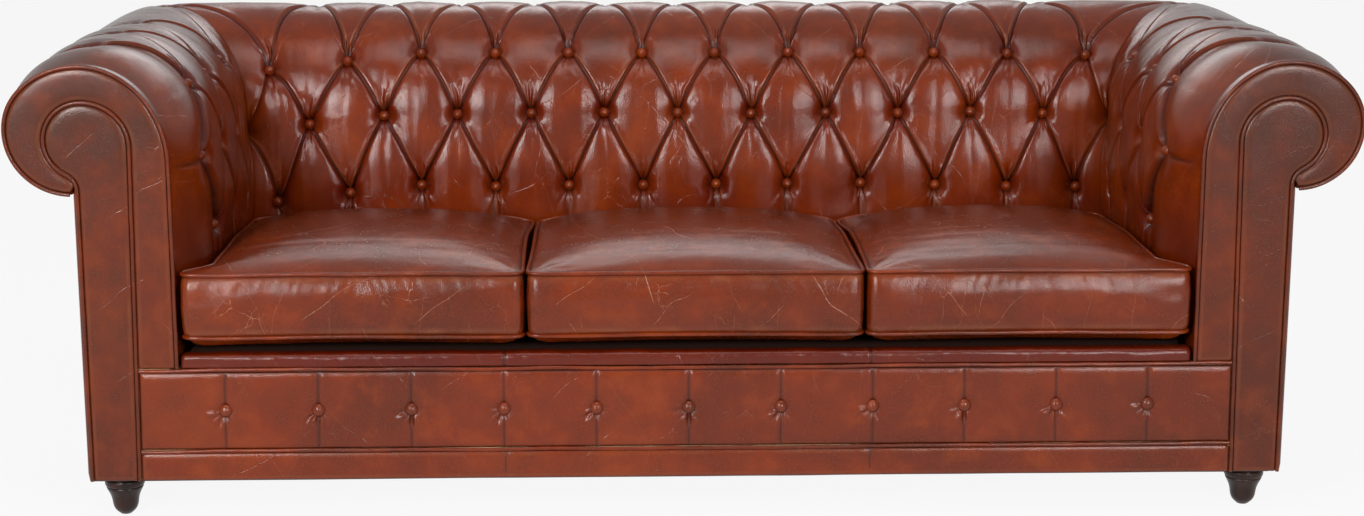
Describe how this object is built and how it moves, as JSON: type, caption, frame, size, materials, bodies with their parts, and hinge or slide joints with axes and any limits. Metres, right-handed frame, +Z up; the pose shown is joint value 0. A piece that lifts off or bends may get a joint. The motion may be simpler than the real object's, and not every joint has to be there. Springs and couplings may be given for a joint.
{
  "type": "chesterfield sofa",
  "caption": "Low sofa whose arms and back share one height, with scrolled tops, deep-buttoned leather, a buttoned front border, loose seat cushions and short turned feet.",
  "frame": {"origin": "on the floor, under the middle of the sofa's bounding box", "axes": "+X along the sofa to the viewer's right when facing its front, +Y from the front to the back, +Z up"},
  "size_m": [2.2172, 0.904, 0.778],
  "materials": {
    "leather": "satin",
    "piping_leather": "satin",
    "beech": "matte",
    "dark_wood": "satin",
    "foam": "matte",
    "deck_cloth": "matte",
    "jute": "matte",
    "steel": "satin",
    "zip_brass": "satin"
  },
  "bodies": {
    "sofa_frame": {"back_pad": "leather", "front_border_panel": "leather", "front_base_band": "leather", "front_lip": "leather", "back_outside_panel": "leather", "arm_pad_left": "leather", "arm_pad_right": "leather", "arm_facing_panel_left": "leather", "arm_facing_panel_right": "leather", "arm_facing_band_left": "leather", "arm_facing_band_right": "leather", "arm_outside_panel_left": "leather", "arm_outside_panel_right": "leather", "front_piping_upper": "piping_leather", "front_piping_lower": "piping_leather", "arm_facing_piping_left": "piping_leather", "arm_facing_piping_right": "piping_leather", "arm_edge_piping_left": "piping_leather", "arm_edge_piping_right": "piping_leather", "front_rail": "beech", "rear_rail": "beech", "seat_brace": "beech", "back_tack_rail": "beech", "back_roll_former": "beech", "side_rail_left": "beech", "side_rail_right": "beech", "corner_post_left": "beech", "corner_post_right": "beech", "back_upright_left": "beech", "back_upright_right": "beech", "arm_front_board_left": "beech", "arm_front_board_right": "beech", "arm_roll_former_left": "beech", "arm_roll_former_right": "beech", "arm_tack_rail_left": "beech", "arm_tack_rail_right": "beech", "corner_block_front_left": "beech", "corner_block_front_right": "beech", "corner_block_rear_left": "beech", "corner_block_rear_right": "beech", "seat_deck": "deck_cloth", "dust_cover": "deck_cloth", "seat_webbing": "jute", "foot_front_left": "dark_wood", "foot_bolt_front_left": "steel", "foot_front_right": "dark_wood", "foot_bolt_front_right": "steel", "foot_rear_left": "dark_wood", "foot_bolt_rear_left": "steel", "foot_rear_right": "dark_wood", "foot_bolt_rear_right": "steel"},
    "seat_cushion_left": {"cushion_cover_left": "leather", "cushion_core_left": "foam", "cushion_zip_left": "zip_brass"},
    "seat_cushion_middle": {"cushion_cover_middle": "leather", "cushion_core_middle": "foam", "cushion_zip_middle": "zip_brass"},
    "seat_cushion_right": {"cushion_cover_right": "leather", "cushion_core_right": "foam", "cushion_zip_right": "zip_brass"}
  },
  "joints": [
    {"name": "seat_cushion_left_lift", "type": "slide", "parent": "sofa_frame", "child": "seat_cushion_left", "axis": [0, 0, 1], "range_m": [0, 0.5]},
    {"name": "seat_cushion_middle_lift", "type": "slide", "parent": "sofa_frame", "child": "seat_cushion_middle", "axis": [0, 0, 1], "range_m": [0, 0.5]},
    {"name": "seat_cushion_right_lift", "type": "slide", "parent": "sofa_frame", "child": "seat_cushion_right", "axis": [0, 0, 1], "range_m": [0, 0.5]}
  ]
}
